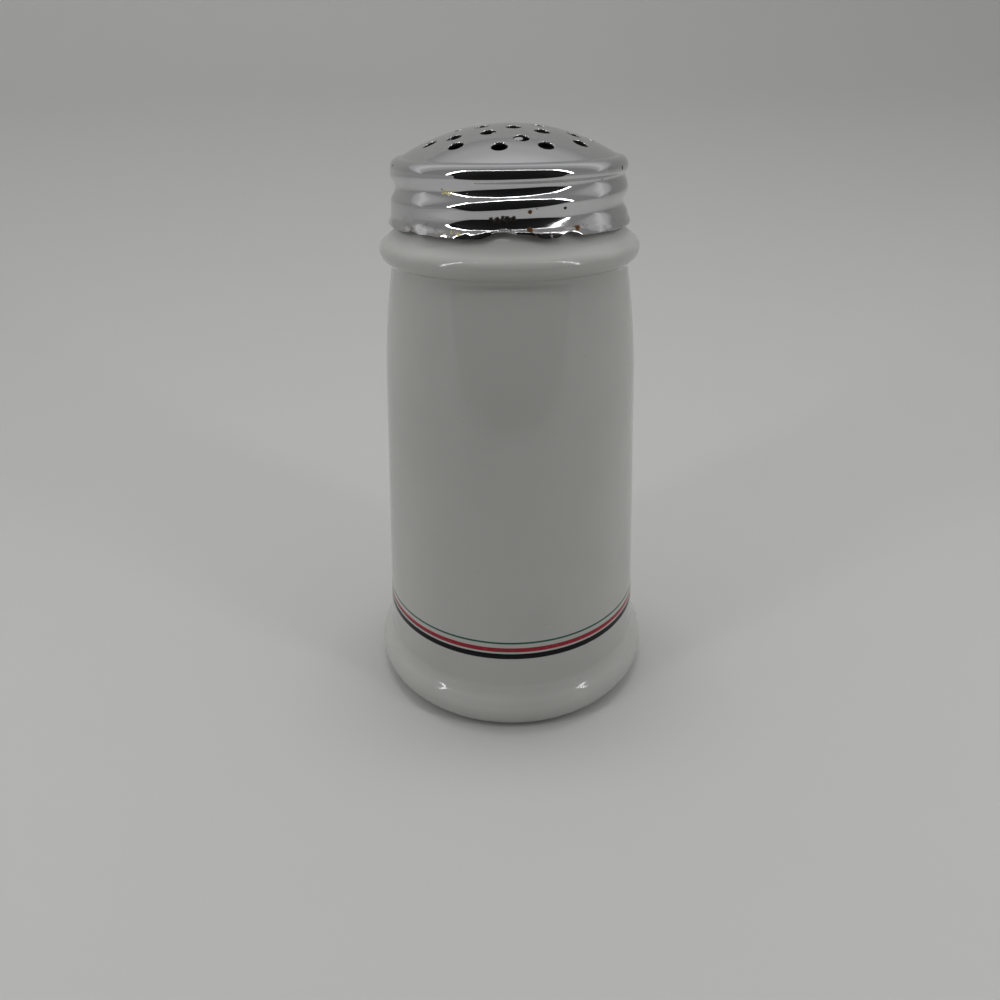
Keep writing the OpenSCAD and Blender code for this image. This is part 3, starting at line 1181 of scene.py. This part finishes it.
    def build(self) -> Piece:
        """Presses, rolls, wrinkles and punches the cap.

        Returns:
            The cap, ready to dress.
        """
        sheet = Bench.turned("chromed_cap", self.outline(), self.turn_steps)
        Bench.push(sheet, Bench.weigh(sheet, "groove", self.groove_weight),
                   -self.thread.groove_h)
        hem = Bench.weigh(sheet, "hem", self.hem_weight)
        Bench.push(sheet, hem, self.hem_flare)
        Bench.push(sheet, hem, self.hem_wrinkle,
                   texture=self.wrinkle("fine_wrinkle", self.hem_wrinkle_size))
        Bench.push(sheet, hem, self.hem_ragged, Way.UP,
                   self.wrinkle("ragged_edge", self.hem_ragged_size))
        for index, dent in enumerate(self.dents):
            group = Bench.weigh(sheet, f"dent_{index}", lambda p, d=dent: self.dent_weight(p, d))
            Bench.push(sheet, group, -dent.inward)
            Bench.push(sheet, group, dent.lift, Way.UP)
        Bench.apply(sheet, "SOLIDIFY", thickness=self.sheet_t, offset=-1.0, use_even_offset=True)
        self.punch_holes(sheet)
        sheet.vertex_groups.clear()
        Bench.smooth(sheet, degrees=50.0)
        return sheet

    def make(self) -> None:
        """Builds the cap and dresses it in chromed sheet."""
        plate = ChromedSheet().material(self)
        dress(self.build(), plate, "chromed_sheet", "cap", "cap")


@dataclass
class Washer:
    """The sealing washer between the rim and the cap. Lengths are in metres."""

    outer_r: float = 0.0281
    width: float = 0.0041
    low: float = 0.1519
    thick: float = 0.001
    soft_r: float = 0.0003
    turn_steps: int = 96

    def build(self) -> Piece:
        """Turns the washer with soft edges.

        Returns:
            The washer, ready to dress.
        """
        inner, high, small = self.outer_r - self.width, self.low + self.thick, self.soft_r
        corners = ((self.outer_r - small, self.low + small, -90.0),
                   (self.outer_r - small, high - small, 0.0),
                   (inner + small, high - small, 90.0), (inner + small, self.low + small, 180.0))
        outline = [point for r, z, start in corners
                   for point in Circle((r, z), small).arc(start, start + 90.0, 30.0)]
        washer = Bench.turned("rim_washer", outline, self.turn_steps, closed=True)
        Bench.smooth(washer)
        return washer

    def make(self) -> None:
        """Builds the washer and dresses it in rubber."""
        rubber = WasherRubber().material()
        dress(self.build(), rubber, "washer_rubber", "washer", "sealing_washer")


@dataclass(frozen=True)
class Card:
    """An upright lens-shaped board that only reflections and soft light see."""

    name: str
    place: Place
    size: Point
    tone: float

    def outline(self) -> list[Point]:
        """Outline of the board about its middle, two arcs that meet in points.

        Returns:
            Its points.
        """
        half, rise = self.size[0] / 2.0, self.size[1] / 2.0
        radius = (half * half + rise * rise) / (2.0 * rise)
        turn = math.degrees(math.asin(half / radius))
        upper = Circle((0.0, rise - radius), radius).arc(90.0 - turn, 90.0 + turn)
        lower = Circle((0.0, radius - rise), radius).arc(270.0 - turn, 270.0 + turn)
        return [*upper, *lower[1:-1]]


@dataclass(frozen=True)
class Lamp:
    """A soft lamp with a plain face that shines at an aim, leaning about the way to it."""

    name: str
    place: Place
    aim: Place
    size: Point
    glow: float
    lean: float = 0.0
    in_mirrors: bool = True

    def watts(self) -> float:
        """Returns the power that makes the face glow as bright as asked."""
        return self.glow * math.pi * self.size[0] * self.size[1]

    def opposite(self, name: str) -> "Lamp":
        """Returns the lamp's mirror image across the plane X = 0, under a new name."""
        x, y, z = self.place
        return replace(self, name=name, place=(-x, y, z), lean=-self.lean)


LEFT_STRIP = Lamp("left_strip", (-0.376, -0.268, 0.349), (0.0, 0.0, 0.10),
                  (0.028, 0.361), glow=11.7, lean=-11.1)


@dataclass
class Studio:
    """The pale sweep, the card, the lamps and the camera. Lengths are in metres."""

    eye: Place = (-0.00335, -0.2024, 0.1668)
    tilt: float = 28.846
    roll: float = -0.773
    focal: float = 735.0
    frame_px: float = 1000.0
    sensor: float = 36.0
    clip_near: float = 0.005
    sweep_front: tuple[float, ...] = (-1.6, -0.5, 0.0)
    sweep_half_w: float = 1.2
    sweep_y: float = 0.13
    sweep_r: float = 0.17
    wall_top: float = 0.40
    horizon: float = 0.1
    air_low: float = 0.52
    air_high: float = 0.68
    sky: tuple[Point, ...] = (
        (0.0, 0.30), (38.0, 0.31), (50.0, 0.46), (64.0, 0.62), (84.0, 0.42), (112.0, 0.26))
    board: Colour = (0.57, 0.575, 0.56, 1.0)
    card: Card = Card("front_card", (0.0, -0.34, 0.285), (1.12, 0.65), 0.01)
    lamps: tuple[Lamp, ...] = (
        LEFT_STRIP,
        LEFT_STRIP.opposite("right_strip"),
        Lamp("front_strip", (0.0, -0.30, 0.569), (0.0, 0.0, 0.12), (0.70, 0.005), glow=16.0),
        Lamp("roof_lamp", (0.0, 0.12, 1.0), (0.0, 0.0, 0.0), (0.45, 0.14), glow=10.0,
             in_mirrors=False),
    )

    @staticmethod
    def board_material(name: str, colour: Colour) -> Material:
        """Builds a matt painted board, with painted shade that darkens it towards the upper right.

        Args:
            name: the material's name.
            colour: its colour.

        Returns:
            The material.
        """
        paint = Paint(name)
        tone = paint.mixed(paint.noise(30.0, detail=5.0, roughness=0.6), colour,
                           darkened(colour, 0.985))
        # Painted shade: the board's colour darkens towards the right and upwards, standing in for
        # less light falling there.
        across = paint.node("SeparateXYZ", {0: paint.place}).outputs["X"]
        shade = paint.times(paint.fade(across, -0.1, 0.35), paint.fade(paint.height(), 0.02, 0.25))
        tone = paint.mixed(shade, tone, darkened(colour, 0.82))
        paint.set(base_color=tone, roughness=0.75, specular_ior_level=0.2)
        return paint.material

    def build_sweep(self) -> None:
        """Draws the floor, its sweep and the wall behind in one sheet."""
        bend = Circle((self.sweep_y, self.sweep_r), self.sweep_r)
        line = [*((y, 0.0) for y in self.sweep_front), *bend.arc(-90.0, 0.0),
                (self.sweep_y + self.sweep_r, self.wall_top)]
        sheet = Bench.line("studio_sweep", line)
        Bench.edit(sheet)
        Bench.swing(HALF_TURN / 2.0)
        Bench.move((-self.sweep_half_w, 0.0, 0.0))
        Bench.draw_out((2.0 * self.sweep_half_w, 0.0, 0.0))
        Bench.close_up()
        Bench.smooth(sheet)
        sheet.data.materials.append(self.board_material("studio_board", self.board))

    def build_card(self, plan: Card) -> None:
        """Stands a card.

        Args:
            plan: its place, size and tone.
        """
        card = Bench.line(plan.name, plan.outline(), closed=True)
        Bench.edit(card)
        bpy.ops.mesh.edge_face_add()
        Bench.move(plan.place)
        Bench.put_down()
        card.data.materials.append(self.board_material(plan.name + "_paint", grey(plan.tone)))
        card.visible_camera = False

    @staticmethod
    def hang(plan: Lamp) -> None:
        """Hangs a lamp.

        Args:
            plan: its place, aim, size and glow.
        """
        data = bpy.data.lights.new(plan.name, "AREA")
        data.shape, data.size, data.size_y = "RECTANGLE", *plan.size
        data.energy = plan.watts()
        lamp = bpy.data.objects.new(plan.name, data)
        lamp.location = plan.place
        way = Vector(plan.aim) - Vector(plan.place)
        turn = way.to_track_quat("-Z", "Y") @ Quaternion((0.0, 0.0, 1.0), math.radians(plan.lean))
        lamp.rotation_euler = turn.to_euler()
        bpy.context.scene.collection.objects.link(lamp)
        lamp.visible_camera = False
        lamp.visible_glossy = plan.in_mirrors

    def add_world(self) -> None:
        """Gives the world a plain soft light, and a quieter sky that polished pieces mirror."""
        world = bpy.data.worlds.new("studio_air")
        air = Nodes(world, "Generated")
        way = air.node("SeparateXYZ", {0: air.place}).outputs
        plain = air.node("MapRange", {"Value": way["Z"], "From Min": self.horizon,
                                      "To Min": self.air_low, "To Max": self.air_high})
        turn = air.maths("ARCTAN2", way["Z"], way["Y"])
        sky = air.node("ValToRGB", {0: air.maths("DIVIDE", turn, math.pi)})
        sky.color_ramp.interpolation = "EASE"
        stops = sky.color_ramp.elements
        while len(stops) < len(self.sky):
            stops.new(0.5)
        for stop, (degrees, tone) in zip(stops, self.sky):
            stop.position, stop.color = degrees / HALF_TURN, grey(tone)
        glossy = air.node("LightPath", {}).outputs["Is Glossy Ray"]
        shade = air.tree.nodes["Background"]
        air.feed(shade.inputs["Color"], air.mixed(glossy, plain.outputs[0], sky.outputs["Color"]))
        air.feed(shade.inputs["Strength"], 1.0)
        bpy.context.scene.world = world

    def add_camera(self) -> None:
        """Sets the camera where the photograph was taken from."""
        data = bpy.data.cameras.new("studio_camera")
        data.sensor_fit, data.sensor_width = "HORIZONTAL", self.sensor
        data.lens = self.sensor * self.focal / self.frame_px
        data.clip_start = self.clip_near
        camera = bpy.data.objects.new("studio_camera", data)
        tilt, roll = math.radians(self.tilt), math.radians(self.roll)
        ahead = Vector((0.0, math.cos(tilt), -math.sin(tilt)))
        upright = Vector((0.0, math.sin(tilt), math.cos(tilt)))
        across = Vector((1.0, 0.0, 0.0))
        right = math.cos(roll) * across + math.sin(roll) * upright
        top = -math.sin(roll) * across + math.cos(roll) * upright
        turn = Matrix((right, top, -ahead)).transposed()
        camera.matrix_world = Matrix.Translation(self.eye) @ turn.to_4x4()
        bpy.context.scene.collection.objects.link(camera)
        bpy.context.scene.camera = camera

    def build(self) -> None:
        """Sets up the whole studio at a plain level of light."""
        self.add_camera()
        self.build_sweep()
        self.build_card(self.card)
        for lamp in self.lamps:
            self.hang(lamp)
        self.add_world()
        bpy.context.scene.view_settings.view_transform = "Standard"


def main() -> None:
    """Builds the studio and every piece in order."""
    logging.basicConfig(level=logging.INFO, format="%(message)s")
    Studio().build()
    glaze = WhiteGlaze().material()
    thread = Thread()
    JarBody().make(glaze)
    thread.make(glaze)
    Washer().make()
    Cap(thread=thread).make()


if __name__ == "__main__":
    main()
